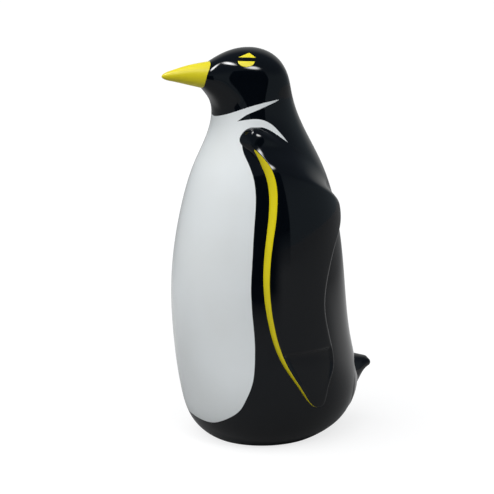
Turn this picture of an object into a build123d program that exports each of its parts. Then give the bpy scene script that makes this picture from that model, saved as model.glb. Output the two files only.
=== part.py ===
from build123d import *
from functools import cache
from itertools import accumulate
from math import cos, exp, hypot, pi, radians, sin
import os

# A standing penguin, an ornament of cast resin. Sizes are in millimetres.
# +Z is up, the penguin faces -Y and its left side is +X.
# The origin is the middle of the flat underside.

# Heights of the body's stations, each measured up from the station below it
heel_rise = 12.0
rump_rise = 23.0
hip_rise = 40.0
belly_rise = 50.0
chest_rise = 55.0
shoulder_rise = 32.0
neck_rise = 36.0
chin_rise = 14.0
snout_rise = 17.0
brow_rise = 12.0
crown_rise = 9.0

# Reach of the front line, ahead of the axis, at each station
base_front = 41.0
heel_front = 54.5
rump_front = 62.5
hip_front = 69.0
belly_front = 71.0
chest_front = 62.5
shoulder_front = 52.5
neck_front = 39.5
chin_front = 42.0
snout_front = 54.0
brow_front = 41.5

# Reach of the back line, behind the axis
base_back = 45.0
heel_back = 64.5
rump_back = 75.5
hip_back = 70.0
belly_back = 63.5
chest_back = 56.0
shoulder_back = 45.5
neck_back = 27.5
chin_back = 23.0
snout_back = 18.5
brow_back = 12.0

# Half width, seen from the front
base_side = 41.0
heel_side = 56.0
rump_side = 65.0
hip_side = 65.0
belly_side = 63.0
chest_side = 56.0
shoulder_side = 46.0
neck_side = 31.0
chin_side = 29.0
snout_side = 30.0
brow_side = 21.0

# The crown leads the axis, and the face narrows towards the snout
crown_lead = 12.0
snout_pinch = 0.33
pinch_spread = 14.0
crown_cap = 0.15

# The body's lines leave the underside at this slope and reach the crown level
base_slope = (2.0, 1.0)
crown_slope = (-1.0, 0.0)

# Shell, and the plate that closes it
wall = 7.0
rim_width = 8.0
ledge_width = 6.0
plate_thickness = 5.0
plate_clearance = 0.3

# Pegged joints: how far a peg goes into the shell, and its room all round
glue_gap = 0.12
peg_diameter = 6.0
peg_bite = 5.0
peg_clearance = 0.1
peg_chamfer = 0.6

# Beak
beak_length = 33.4
beak_width = 18.8
beak_height = 21.4
beak_seat_reach = 46.5
beak_seat_rise = 1.0
beak_seat_tilt = 18.0
beak_tip_radius = 2.0
beak_tip_rounding = 0.8
beak_peg_bite = 14.0

# Eyes: two flat inlays, a gable above and a half disc below
eye_turn = 65.0
eye_tip = 12.0
eye_reach = 11.9
eye_above_snout = 9.0
eye_width = 12.4
eye_gap = 3.0
eye_gable_height = 4.1
eye_gable_lead = 1.4
eye_bowl_lag = 0.6
eye_bowl_depth = 4.6
eye_depth = 1.2
eye_clearance = 0.1

# Flippers: outline seen square to the flank, heights measured from the shoulder
flipper_lean = 14.0
flipper_cap = 31.5
flipper_tip = -179.0
flipper_tip_along = 4.5
flipper_cap_along = -26.0
flipper_front = -38.3
flipper_elbow = 37.5
flipper_edge = 1.8
flipper_sink = 2.0

# How far a flipper stands out from the flank along its leading edge, from tip to cap
tip_rise = 1.0
lead_blade_rise = 3.4
lead_middle_rise = 4.9
lead_shoulder_rise = 6.3
lead_top_rise = 8.0
lead_brow_rise = 7.2
cap_rise = 2.4

# The same along its trailing edge, which is thickest at the elbow and fades out at the nape
trail_blade_rise = 2.3
trail_waist_rise = 2.7
trail_middle_rise = 3.9
trail_elbow_rise = 7.2
trail_upper_rise = 4.2
nape_rise = 1.2

# Flipper pegs, placed as the outline is
flipper_peg_bite = 3.0
flipper_peg_drop = 20.0
flipper_peg_spacing = 40.0
flipper_peg_shift = -6.0

# Tail
tail_length = 18.5
tail_root_depth = 12.0
tail_root_drop = 23.0
tail_root_rise = 26.0
tail_root_width = 52.0
tail_end_rise = 14.6
tail_end_width = 9.0
tail_end_height = 8.0
tail_end_rounding = 0.33
tail_taper = 0.77
tail_peg_bite = 9.0
tail_peg_rise = 5.0

# Sections of the lofts
body_corners = 16
flipper_tip_rings = (0.007, 0.03)
flipper_steps = 13
flipper_cap_rings = (0.3, 0.55, 0.75, 0.88, 0.96)
flipper_middles = (0.3, 0.5, 0.7)
edge_share = 0.16
crown_rings = (0.45, 0.75, 0.92)
tail_rings = (0.0, 0.37, 0.6, 0.8, 1.0)
least_step = 1.0
bisections = 40

# Rounding of a flipper's edge: share of the edge's width, and share of the rise
edge_rounding = [(0.0, 0.0), (0.25, 0.55), (0.7, 0.88), (1.5, 1.0)]

# Sections of the beak: share of its length, share of its size and share of the seat's tilt
beak_taper = [(0.0, 1.0, 1.0), (0.2, 0.84, 0.7), (0.55, 0.57, 0.25), (0.84, 0.31, 0.0)]

base_heights = [0.0, heel_rise, rump_rise, hip_rise, belly_rise, chest_rise, shoulder_rise]
stations = list(accumulate(base_heights + [neck_rise, chin_rise, snout_rise, brow_rise]))
height = stations[-1] + crown_rise
rump_height = stations[2]
shoulder_height = stations[6]
neck_height = stations[7]
snout_height = stations[9]
socket_radius = peg_diameter / 2 + peg_clearance


def profile(reaches, crown_reach):
    """Side line of the body as (reach, height), level where it meets the crown."""
    points = list(zip(reaches, stations)) + [(crown_reach, height)]
    with BuildLine() as line:
        Spline(*points, tangents=[base_slope, crown_slope], tangent_scalars=[1, 1])
    return line.edge()


front_line = profile(
    [base_front, heel_front, rump_front, hip_front, belly_front, chest_front]
    + [shoulder_front, neck_front, chin_front, snout_front, brow_front],
    crown_lead,
)
back_line = profile(
    [base_back, heel_back, rump_back, hip_back, belly_back, chest_back]
    + [shoulder_back, neck_back, chin_back, snout_back, brow_back],
    -crown_lead,
)
side_line = profile(
    [base_side, heel_side, rump_side, hip_side, belly_side, chest_side]
    + [shoulder_side, neck_side, chin_side, snout_side, brow_side],
    0.0,
)


def reach(line, z):
    """Reach of a rising line at height z."""
    low, high = 0.0, 1.0
    for _ in range(bisections):
        middle = (low + high) / 2
        if (line @ middle).Y < z:
            low = middle
        else:
            high = middle
    return (line @ low).X


@cache
def measures(z):
    """Spine, half depth, lean, half width and pinch of the body at height z."""
    front = -reach(front_line, z)
    back = reach(back_line, z)
    spine = -crown_lead * (z / height) ** 2
    pinch = snout_pinch * exp(-(((z - snout_height) / pinch_spread) ** 2))
    return spine, (back - front) / 2, spine - (front + back) / 2, reach(side_line, z), pinch


def skin(z, angle, grow=0.0):
    """Point of the body's skin at height z, turned from the front and grown along its normal."""
    spine, depth, lean, width, pinch = measures(z)
    squeeze = 1 - pinch * (1 + cos(angle)) / 2
    x = width * sin(angle) * squeeze
    y = spine - depth * cos(angle) - lean * cos(angle) ** 2
    along_x = width * (cos(angle) * squeeze + pinch * sin(angle) ** 2 / 2)
    along_y = depth * sin(angle) + lean * sin(2 * angle)
    stand_off = grow / hypot(along_x, along_y)
    return x + stand_off * along_y, y - stand_off * along_x


def body_section(z, grow=0.0):
    """Egg-shaped outline of the body at height z."""
    points = [skin(z, 2 * pi * corner / body_corners, grow) for corner in range(body_corners)]
    with BuildSketch(Plane.XY.offset(z)) as outline:
        with BuildLine():
            Spline(*points, periodic=True)
        make_face()
    return outline.sketch


def part_way(start, end, share):
    return start + (end - start) * share


def steps(low, high, count):
    return [part_way(low, high, step / count) for step in range(count + 1)]


def between_stations(low, high):
    """The stations and the heights halfway between them, from low to high."""
    halves = [(a + b) / 2 for a, b in zip(stations, stations[1:])]
    inner = [z for z in sorted(stations + halves) if low + least_step < z < high - least_step]
    return [low] + inner + [high]


crown_heights = [part_way(stations[-1], height, share) for share in crown_rings]
body_heights = between_stations(0, stations[-1]) + crown_heights + [height - crown_cap]

# The body's outer form, and a copy of it that clears the glue
with BuildPart() as body_form:
    loft([body_section(z) for z in body_heights])

with BuildPart() as glue_form:
    loft([body_section(z, glue_gap) for z in body_heights])

# Beak seat: the end of the snout is cut flat, leaning so that its top is further back
seat_lean = radians(beak_seat_tilt)
beak_seat = Plane(
    origin=(0, -beak_seat_reach, snout_height + beak_seat_rise),
    x_dir=(1, 0, 0),
    z_dir=(0, -cos(seat_lean), sin(seat_lean)),
)
beak_axis = Plane(origin=beak_seat.origin, x_dir=(1, 0, 0), z_dir=(0, -1, 0))

with BuildPart() as beak:
    for along, share, tilt in beak_taper:
        lean = seat_lean * tilt
        middle = beak_seat.origin + Vector(0, -beak_length * along, 0)
        with BuildSketch(Plane(middle, x_dir=(1, 0, 0), z_dir=(0, -cos(lean), sin(lean)))):
            Ellipse(beak_width / 2 * share, beak_height / 2 * share)
    with BuildSketch(beak_axis.offset(beak_length)):
        Circle(beak_tip_radius)
    loft()
    fillet(beak.faces().sort_by(Axis.Y)[0].edges(), beak_tip_radius * beak_tip_rounding)
    split(bisect_by=beak_seat.offset(glue_gap), keep=Keep.TOP)
    with BuildSketch(beak_axis):
        Circle(socket_radius)
    extrude(amount=beak_peg_bite + peg_clearance, both=True, mode=Mode.SUBTRACT)

with BuildPart() as beak_dowel:
    with BuildSketch(beak_axis):
        Circle(peg_diameter / 2)
    extrude(amount=beak_peg_bite, both=True)
    chamfer(beak_dowel.edges(), peg_chamfer)

# Flippers: lofted from sections that follow the flank, with a rounded edge in front
flank_turn = radians(flipper_lean)
flank = Plane(
    origin=(0, 0, shoulder_height),
    x_dir=(-sin(flank_turn), cos(flank_turn), 0),
    z_dir=(cos(flank_turn), sin(flank_turn), 0),
)


def rising_line(*points):
    with BuildLine() as line:
        Spline(*points)
    return line.edge()


def blade(share):
    """Height of a place on the blade, as a share of the way from the shoulder to the tip."""
    return flipper_tip * share


def crest(share):
    """Height of a place above the shoulder, as a share of the way to the cap."""
    return flipper_cap * share


def forward(share):
    """Place along the flank, as a share of the reach of the leading edge."""
    return flipper_front * share


def aft(share):
    """Place along the flank, as a share of the reach of the elbow."""
    return flipper_elbow * share


lead_edge = rising_line(
    (flipper_tip_along, flipper_tip),
    (forward(0.261), blade(0.92)),
    (forward(0.663), blade(0.793)),
    (forward(0.94), blade(0.61)),
    (flipper_front, blade(0.447)),
    (forward(0.906), blade(0.272)),
    (forward(0.757), blade(0.112)),
    (forward(0.739), blade(0.006)),
    (forward(0.867), crest(0.41)),
    (forward(0.956), crest(0.635)),
    (forward(0.898), crest(0.83)),
    (flipper_cap_along, flipper_cap),
)
trail_edge = rising_line(
    (flipper_tip_along, flipper_tip),
    (aft(0.307), blade(0.93)),
    (aft(0.48), blade(0.838)),
    (aft(0.413), blade(0.71)),
    (aft(0.28), blade(0.559)),
    (aft(0.421), blade(0.425)),
    (aft(0.736), blade(0.302)),
    (flipper_elbow, blade(0.223)),
    (aft(0.96), blade(0.151)),
    (aft(0.547), blade(0.067)),
    (aft(0.133), crest(0.286)),
    (aft(-0.253), crest(0.752)),
    (flipper_cap_along, flipper_cap),
)
lead_rises = rising_line(
    (tip_rise, flipper_tip),
    (lead_blade_rise, blade(0.715)),
    (lead_middle_rise, blade(0.42)),
    (lead_shoulder_rise, blade(0.1)),
    (lead_top_rise, crest(0.444)),
    (lead_brow_rise, crest(0.73)),
    (cap_rise, flipper_cap),
)
trail_rises = rising_line(
    (tip_rise, flipper_tip),
    (trail_blade_rise, blade(0.737)),
    (trail_waist_rise, blade(0.547)),
    (trail_middle_rise, blade(0.38)),
    (trail_elbow_rise, blade(0.212)),
    (trail_upper_rise, blade(0.123)),
    (nape_rise, blade(0.045)),
    (nape_rise, crest(0.32)),
    (nape_rise, flipper_cap),
)


def ease(share):
    """Goes from 0 to 1 with level ends."""
    return share**2 * (3 - 2 * share)


def over_flank(z, along, rise):
    """Point at height z that lies along the flank and stands out from the skin."""
    low, high = flank_turn, flank_turn + pi
    for _ in range(bisections):
        middle = (low + high) / 2
        x, y = skin(z, middle)
        if y * cos(flank_turn) - x * sin(flank_turn) < along:
            low = middle
        else:
            high = middle
    x, y = skin(z, low)
    return x + rise * cos(flank_turn), y + rise * sin(flank_turn)


def flipper_section(z):
    """Section of the left flipper, whose inner side is sunk into the body."""
    above = z - shoulder_height
    lead = reach(lead_edge, above)
    wide = reach(trail_edge, above) - lead
    edge = min(flipper_edge, edge_share * wide)
    front = [(edge * across, climb) for across, climb in edge_rounding]
    back = [(wide - across, climb) for across, climb in reversed(front)]
    shape = front + [(wide * share, 1.0) for share in flipper_middles] + back
    points = [over_flank(z, lead, -flipper_sink)]
    for across, climb in shape:
        rise = part_way(reach(lead_rises, above), reach(trail_rises, above), ease(across / wide))
        points.append(over_flank(z, lead + across, rise * climb))
    points.append(over_flank(z, lead + wide, -flipper_sink))
    with BuildSketch(Plane.XY.offset(z)) as section:
        with BuildLine():
            Spline(*points)
            Line(points[-1], points[0])
        make_face()
    return section.sketch


tip_height = shoulder_height + flipper_tip
flipper_heights = [part_way(tip_height, shoulder_height, share) for share in flipper_tip_rings]
flipper_heights += steps(tip_height, shoulder_height, flipper_steps)[1:]
flipper_heights += [shoulder_height + flipper_cap * share for share in flipper_cap_rings]

flipper_pegs = [
    (0.0, -flipper_peg_drop),
    (flipper_peg_shift, -flipper_peg_drop - flipper_peg_spacing),
]


def peg_seat(middle):
    """Plane square to the flank where a peg crosses from the shell into the flipper."""
    inside = flank.from_local_coords(Vector(*middle, 0))
    crossings = body_form.part.shell().find_intersection_points(Axis(inside, flank.z_dir))
    return Plane(crossings[-1][0], x_dir=flank.x_dir, z_dir=flank.z_dir)


peg_seats = [peg_seat(middle) for middle in flipper_pegs]

with BuildPart() as left_flipper:
    loft([flipper_section(z) for z in flipper_heights])
    add(glue_form.part, mode=Mode.SUBTRACT)
    for seat in peg_seats:
        with BuildSketch(seat.offset(-peg_bite)):
            Circle(socket_radius)
        extrude(amount=peg_bite + flipper_peg_bite + peg_clearance, mode=Mode.SUBTRACT)

with BuildPart() as left_flipper_dowels:
    for seat in peg_seats:
        with BuildSketch(seat.offset(-peg_bite)):
            Circle(peg_diameter / 2)
        extrude(amount=peg_bite + flipper_peg_bite)
    chamfer(left_flipper_dowels.edges().filter_by(GeomType.CIRCLE), peg_chamfer)

with BuildPart() as flank_sockets:
    for seat in peg_seats:
        with BuildSketch(seat.offset(-peg_bite - peg_clearance)):
            Circle(socket_radius)
        extrude(amount=peg_bite + flipper_peg_bite)

with BuildPart() as right_flipper:
    mirror(left_flipper.part, about=Plane.YZ)

with BuildPart() as right_flipper_dowels:
    mirror(left_flipper_dowels.part, about=Plane.YZ)

# Tail: a short wedge that flares into the rump
tail_axis = Plane(
    origin=(0, rump_back, rump_height + tail_peg_rise), x_dir=(-1, 0, 0), z_dir=(0, 1, 0)
)

with BuildPart() as tail:
    for share in tail_rings:
        along = part_way(-tail_root_depth, tail_length, share)
        low = part_way(-tail_root_drop, tail_end_rise - tail_end_height, ease(share))
        high = part_way(tail_root_rise, tail_end_rise, share**tail_taper)
        width = part_way(tail_root_width, tail_end_width, share**tail_taper)
        with BuildSketch(tail_axis.offset(along)):
            with Locations((0, (low + high) / 2 - tail_peg_rise)):
                Ellipse(width / 2, (high - low) / 2)
    loft()
    fillet(tail.faces().sort_by(Axis.Y)[-1].edges(), tail_end_height * tail_end_rounding)
    add(glue_form.part, mode=Mode.SUBTRACT)
    with BuildSketch(tail_axis):
        Circle(socket_radius)
    extrude(amount=tail_peg_bite + peg_clearance, mode=Mode.SUBTRACT)

with BuildPart() as tail_dowel:
    with BuildSketch(tail_axis.offset(-peg_bite)):
        Circle(peg_diameter / 2)
    extrude(amount=peg_bite + tail_peg_bite)
    chamfer(tail_dowel.edges(), peg_chamfer)

# Eyes: prisms through the head, kept only where they lie in its skin
eye_azimuth, eye_lift = radians(eye_turn), radians(eye_tip)
eye_sight = Vector(
    sin(eye_azimuth) * cos(eye_lift), -cos(eye_azimuth) * cos(eye_lift), sin(eye_lift)
)
eye_plane = Plane(
    origin=(0, -eye_reach, snout_height + eye_above_snout),
    x_dir=(cos(eye_azimuth), sin(eye_azimuth), 0),
    z_dir=eye_sight,
)


def eye_sketch(spare):
    """The gable and the half disc of the left eye, grown by some spare width."""
    half = eye_width / 2
    with BuildSketch(eye_plane) as marks:
        with BuildLine():
            Polyline(
                (-half, eye_gap / 2),
                (half, eye_gap / 2),
                (eye_gable_lead, eye_gap / 2 + eye_gable_height),
                close=True,
            )
        make_face()
        with BuildLine():
            brim = Line((half - eye_bowl_lag, -eye_gap / 2), (-half - eye_bowl_lag, -eye_gap / 2))
            ThreePointArc(brim @ 1, (-eye_bowl_lag, -eye_gap / 2 - eye_bowl_depth), brim @ 0)
        make_face()
        if spare > 0:
            offset(amount=spare)
    return marks.sketch


eye_heights = [z for z in body_heights if z > neck_height]
with BuildPart() as eye_floor:
    loft([body_section(z, -eye_depth) for z in eye_heights])

with BuildPart() as left_eye:
    extrude(eye_sketch(0), amount=chin_side * 2)
    add(body_form.part, mode=Mode.INTERSECT)
    add(eye_floor.part, mode=Mode.SUBTRACT)

with BuildPart() as right_eye:
    mirror(left_eye.part, about=Plane.YZ)

with BuildPart() as eye_pocket:
    extrude(eye_sketch(eye_clearance), amount=chin_side * 2)
    add(eye_floor.part, mode=Mode.SUBTRACT)

# Closing plate, let into the rim of the shell
with BuildPart() as base_plate:
    extrude(body_section(0, -rim_width - plate_clearance), amount=plate_thickness)

# Shell: hollow up to the neck, with the seats of every piece that it carries
hollow_heights = between_stations(rump_height, shoulder_height)
with BuildPart() as hollow:
    mouth = body_section(0, -rim_width - ledge_width).moved(Location((0, 0, plate_thickness)))
    throat = body_section(neck_height, -2 * wall)
    loft([mouth] + [body_section(z, -wall) for z in hollow_heights] + [throat])

with BuildPart() as body_shell:
    add(body_form.part)
    add(hollow.part, mode=Mode.SUBTRACT)
    extrude(body_section(0, -rim_width), amount=plate_thickness, mode=Mode.SUBTRACT)
    with BuildSketch(beak_seat):
        Rectangle(beak_width * 2, beak_height * 2)
    extrude(amount=beak_length, mode=Mode.SUBTRACT)
    with BuildSketch(beak_axis):
        Circle(socket_radius)
    extrude(amount=beak_peg_bite + peg_clearance, both=True, mode=Mode.SUBTRACT)
    with BuildSketch(tail_axis):
        Circle(socket_radius)
    extrude(amount=peg_bite + peg_clearance, both=True, mode=Mode.SUBTRACT)
    for sockets in (flank_sockets.part, eye_pocket.part):
        add(sockets, mode=Mode.SUBTRACT)
        add(sockets.mirror(Plane.YZ), mode=Mode.SUBTRACT)

os.makedirs("parts", exist_ok=True)
body_shell.part.label = "body_shell"
export_step(body_shell.part, "parts/body_shell.step")
base_plate.part.label = "base_plate"
export_step(base_plate.part, "parts/base_plate.step")
left_flipper.part.label = "left_flipper"
export_step(left_flipper.part, "parts/left_flipper.step")
right_flipper.part.label = "right_flipper"
export_step(right_flipper.part, "parts/right_flipper.step")
left_flipper_dowels.part.label = "left_flipper_dowels"
export_step(left_flipper_dowels.part, "parts/left_flipper_dowels.step")
right_flipper_dowels.part.label = "right_flipper_dowels"
export_step(right_flipper_dowels.part, "parts/right_flipper_dowels.step")
beak.part.label = "beak"
export_step(beak.part, "parts/beak.step")
beak_dowel.part.label = "beak_dowel"
export_step(beak_dowel.part, "parts/beak_dowel.step")
tail.part.label = "tail"
export_step(tail.part, "parts/tail.step")
tail_dowel.part.label = "tail_dowel"
export_step(tail_dowel.part, "parts/tail_dowel.step")
left_eye.part.label = "left_eye"
export_step(left_eye.part, "parts/left_eye.step")
right_eye.part.label = "right_eye"
export_step(right_eye.part, "parts/right_eye.step")
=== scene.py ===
import math

import bpy
import numpy as np
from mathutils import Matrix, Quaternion, Vector


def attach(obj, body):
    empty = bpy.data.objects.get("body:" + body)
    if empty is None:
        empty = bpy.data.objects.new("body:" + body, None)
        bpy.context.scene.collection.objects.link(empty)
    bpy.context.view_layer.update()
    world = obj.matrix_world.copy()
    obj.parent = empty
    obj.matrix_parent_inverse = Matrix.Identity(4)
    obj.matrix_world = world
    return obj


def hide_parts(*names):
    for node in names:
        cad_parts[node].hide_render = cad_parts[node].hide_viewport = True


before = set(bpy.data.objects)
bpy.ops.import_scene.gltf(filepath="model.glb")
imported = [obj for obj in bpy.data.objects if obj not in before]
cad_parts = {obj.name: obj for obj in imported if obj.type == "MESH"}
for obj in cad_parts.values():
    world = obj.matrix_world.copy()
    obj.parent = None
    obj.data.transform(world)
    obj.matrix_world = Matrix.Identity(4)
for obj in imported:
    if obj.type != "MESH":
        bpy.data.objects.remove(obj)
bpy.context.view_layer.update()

MM = 0.001
SMALL = 1e-6
TINY = 1e-12

# Body lines, in millimetres: height, front reach, back reach and half width at each station
STATIONS = [
    (0, 41.0, 45.0, 41.0),
    (12, 54.5, 64.5, 56.0),
    (35, 62.5, 75.5, 65.0),
    (75, 69.0, 70.0, 65.0),
    (125, 71.0, 63.5, 63.0),
    (180, 62.5, 56.0, 56.0),
    (212, 52.5, 45.5, 46.0),
    (248, 39.5, 27.5, 31.0),
    (262, 42.4, 22.4, 29.0),
    (279, 54.0, 17.2, 30.0),
    (291, 41.5, 11.0, 21.0),
]
HEIGHT = 300.0
SHOULDER = 212.0
SNOUT = 279.0
RUMP = 35.0
RUMP_BACK = 75.5
CROWN_LEAD = 12.0
FOOT_DIRECTION = (2, 1)
CROWN_DIRECTION = (-1, 0)
SNOUT_PINCH = 0.33
PINCH_SPREAD = 14.0
SKIN_HALVINGS = 44


def smooth(x):
    """Smooth step from 0 at 0 to 1 at 1."""
    x = np.clip(x, 0.0, 1.0)
    return x * x * (3 - 2 * x)


def slope(value, start, end):
    """Straight run from 0 at start to 1 at end."""
    return np.clip((value - start) / (end - start), 0.0, 1.0)


def step(value, start, end):
    """Smooth step from 0 at start to 1 at end."""
    return smooth(slope(value, start, end))


def direction(turn, lift):
    """Unit vector, by degrees round from the front and up from level."""
    turn, lift = math.radians(turn), math.radians(lift)
    return np.array([math.sin(turn) * math.cos(lift), -math.cos(turn) * math.cos(lift), math.sin(lift)])


def hermite(points, slopes, times, count):
    """Points along a cubic that has these points and slopes."""
    at = np.linspace(times[0], times[-1], count)
    k = np.clip(np.searchsorted(times, at, side="right") - 1, 0, len(times) - 2)
    h = (times[k + 1] - times[k])[:, None]
    s = (at - times[k])[:, None] / h
    return (
        (2 * s**3 - 3 * s**2 + 1) * points[k]
        + (s**3 - 2 * s**2 + s) * h * slopes[k]
        + (3 * s**2 - 2 * s**3) * points[k + 1]
        + (s**3 - s**2) * h * slopes[k + 1]
    )


def line_through(points, start, end, count=4000):
    """Smooth open line through points, with a direction at each end."""
    p = np.array(points, float)
    times = np.concatenate([[0], np.cumsum(np.linalg.norm(np.diff(p, axis=0), axis=1))])
    h = np.diff(times)
    n = len(p)
    a = np.eye(n)
    b = np.zeros_like(p)
    b[0] = np.array(start, float) / np.linalg.norm(start)
    b[-1] = np.array(end, float) / np.linalg.norm(end)
    for i in range(1, n - 1):
        a[i, i - 1:i + 2] = h[i], 2 * (h[i - 1] + h[i]), h[i - 1]
        b[i] = 3 * (h[i] * (p[i] - p[i - 1]) / h[i - 1] + h[i - 1] * (p[i + 1] - p[i]) / h[i])
    return hermite(p, np.linalg.solve(a, b), times, count)


def loop_through(points, count=2400):
    """Smooth closed line through points."""
    p = np.array(points, float)
    n = len(p)
    h = np.linalg.norm(np.roll(p, -1, axis=0) - p, axis=1)
    a = np.zeros((n, n))
    b = np.zeros_like(p)
    for i in range(n):
        before, after = (i - 1) % n, (i + 1) % n
        a[i, before] += h[i]
        a[i, i] += 2 * (h[before] + h[i])
        a[i, after] += h[before]
        b[i] = 3 * (h[i] * (p[i] - p[before]) / h[before] + h[before] * (p[after] - p[i]) / h[i])
    slopes = np.linalg.solve(a, b)
    times = np.concatenate([[0], np.cumsum(h)])
    closed = np.vstack([p, p[:1]])
    return hermite(closed, np.vstack([slopes, slopes[:1]]), times, count)[:-1]


def profile(column, crown):
    """Line of the body through one column of the stations, up to the crown."""
    points = [(s[column], s[0]) for s in STATIONS] + [(crown, HEIGHT)]
    return line_through(points, FOOT_DIRECTION, CROWN_DIRECTION)


FRONT_LINE = profile(1, CROWN_LEAD)
BACK_LINE = profile(2, -CROWN_LEAD)
SIDE_LINE = profile(3, 0.0)


def measures(z):
    """Spine, half depth, lean, half width and pinch of the body at height z."""
    front = -np.interp(z, FRONT_LINE[:, 1], FRONT_LINE[:, 0])
    back = np.interp(z, BACK_LINE[:, 1], BACK_LINE[:, 0])
    width = np.interp(z, SIDE_LINE[:, 1], SIDE_LINE[:, 0])
    spine = -CROWN_LEAD * (z / HEIGHT) ** 2
    pinch = SNOUT_PINCH * np.exp(-(((z - SNOUT) / PINCH_SPREAD) ** 2))
    return spine, (back - front) / 2, spine - (front + back) / 2, width, pinch


def skin(z, turn):
    """Point on the body's skin at height z, turned from the front."""
    spine, depth, lean, width, pinch = measures(z)
    x = width * np.sin(turn) * (1 - pinch * (1 + np.cos(turn)) / 2)
    y = spine - depth * np.cos(turn) - lean * np.cos(turn) ** 2
    return np.stack([x, y, z + 0 * turn], -1)


def inside(p):
    """Whether points lie inside the body's skin."""
    z = np.clip(p[..., 2], 0.0, HEIGHT)
    spine, depth, lean, width, pinch = measures(z)
    gap = p[..., 1] - spine
    root = np.sqrt(np.maximum(depth**2 - 4 * lean * gap, 0.0))
    upright = -gap / np.maximum(depth, SMALL)
    leaning = (root - depth) / (2 * lean + TINY)
    cosine = np.where(np.abs(lean) < SMALL, upright, leaning)
    reach = width * np.sqrt(np.clip(1 - cosine**2, 0, 1)) * (1 - pinch * (1 + cosine) / 2)
    return (np.abs(cosine) < 1) & (np.abs(p[..., 0]) < reach) & (p[..., 2] < HEIGHT) & (p[..., 2] > 0)


def onto_skin(start, ray, far):
    """Where rays from inside the body leave its skin, no further than far."""
    low = np.zeros(start.shape[:-1])
    high = np.full(start.shape[:-1], far)
    for _ in range(SKIN_HALVINGS):
        middle = (low + high) / 2
        within = inside(start + middle[..., None] * ray)
        low, high = np.where(within, middle, low), np.where(within, high, middle)
    return start + low[..., None] * ray


def add_object(name, data):
    """Puts a new object into the scene."""
    item = bpy.data.objects.new(name, data)
    bpy.context.scene.collection.objects.link(item)
    return item


def add_mesh(name, vertices, faces, material):
    """A smooth piece of the part, from vertices in millimetres."""
    mesh = bpy.data.meshes.new(name)
    mesh.from_pydata((np.asarray(vertices) * MM).tolist(), [], faces)
    mesh.validate()
    mesh.polygons.foreach_set("use_smooth", [True] * len(mesh.polygons))
    mesh.update()
    mesh.materials.append(material)
    piece = add_object(name, mesh)
    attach(piece, "root")
    return piece


def add_field(piece, name, values):
    """A number at each vertex, for a material to read."""
    attribute = piece.data.attributes.new(name, "FLOAT", "POINT")
    attribute.data.foreach_set("value", np.asarray(values, np.float32))


def grid_faces(rows, columns, closed=True, start=0):
    """Quads of a grid of rows, each row closed on itself or open."""
    faces = []
    for r in range(rows - 1):
        for c in range(columns if closed else columns - 1):
            a, b = c, (c + 1) % columns
            base = start + r * columns
            faces.append((base + a, base + b, base + columns + b, base + columns + a))
    return faces


def capped_faces(rows, columns):
    """Faces of a grid of closed rows with both ends capped.

    The middle of the last row and then that of the first follow the grid's own vertices.
    """
    faces = grid_faces(rows, columns)
    last = (rows - 1) * columns
    middle = rows * columns
    for c in range(columns):
        after = (c + 1) % columns
        faces.append((last + c, last + after, middle))
        faces.append((after, c, middle + 1))
    return faces


def turned_out(faces):
    """The same faces, seen from their other side."""
    return [face[::-1] for face in faces]


def mirrored_shape(vertices, faces):
    """The same shape on the body's other side."""
    return vertices * [-1, 1, 1], turned_out(faces)


def distance_to(points, line, closed=False):
    """Distance from 2-D points to a polyline."""
    a = line if closed else line[:-1]
    b = np.roll(line, -1, axis=0) if closed else line[1:]
    best = np.full(len(points), np.inf)
    for p, q in zip(a, b):
        d = q - p
        t = np.clip(((points - p) @ d) / max(d @ d, TINY), 0, 1)
        best = np.minimum(best, np.linalg.norm(points - p - t[:, None] * d, axis=1))
    return best


def within_polygon(points, polygon):
    """Whether 2-D points lie inside a polygon."""
    x, y = points[:, 0], points[:, 1]
    odd = np.zeros(len(points), bool)
    for (x0, y0), (x1, y1) in zip(polygon, np.roll(polygon, -1, axis=0)):
        crosses = (y0 > y) != (y1 > y)
        with np.errstate(divide="ignore", invalid="ignore"):
            at = x0 + (y - y0) / (y1 - y0) * (x1 - x0)
        odd ^= crosses & (x < at)
    return odd


# Materials. Sockets of a Mix node that mixes colours
MIX_FACTOR = 0
MIX_COLOURS = (6, 7)
MIX_RESULT = 2


def new_material(name):
    """A new material with its nodes, links and shader."""
    material = bpy.data.materials.new(name)
    material.use_nodes = True
    nodes = material.node_tree.nodes
    return material, nodes, material.node_tree.links, nodes["Principled BSDF"]


def add_node(nodes, kind, **values):
    """A node whose settings and unlinked inputs have these values."""
    node = nodes.new(kind)
    for key, value in values.items():
        if hasattr(node, key):
            setattr(node, key, value)
        else:
            node.inputs[key].default_value = value
    return node


def noise(nodes, links, scale, detail):
    """Even noise in the object's own space, with scale in features per metre."""
    place = add_node(nodes, "ShaderNodeTexCoord")
    texture = add_node(nodes, "ShaderNodeTexNoise", Scale=scale, Detail=detail)
    links.new(place.outputs["Object"], texture.inputs["Vector"])
    return texture.outputs["Fac"]


def ranged(nodes, links, source, span, result=(0.0, 1.0), steps="LINEAR"):
    """A number that runs over the result while its source runs over the span."""
    node = add_node(nodes, "ShaderNodeMapRange", interpolation_type=steps)
    for key, value in zip(("From Min", "From Max", "To Min", "To Max"), (*span, *result)):
        node.inputs[key].default_value = value
    links.new(source, node.inputs["Value"])
    return node.outputs["Result"]


def mixed(nodes, links, factor, first, second):
    """Colour between two colours or colour sockets."""
    node = add_node(nodes, "ShaderNodeMix", data_type="RGBA")
    links.new(factor, node.inputs[MIX_FACTOR])
    for socket, value in zip(MIX_COLOURS, (first, second)):
        if isinstance(value, tuple):
            node.inputs[socket].default_value = (*value, 1.0)
        else:
            links.new(value, node.inputs[socket])
    return node.outputs[MIX_RESULT]


def combined(nodes, links, operation, first, second):
    """Number that a Math node makes of two numbers."""
    node = add_node(nodes, "ShaderNodeMath", operation=operation)
    links.new(first, node.inputs[0])
    links.new(second, node.inputs[1])
    return node.outputs[0]


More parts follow.
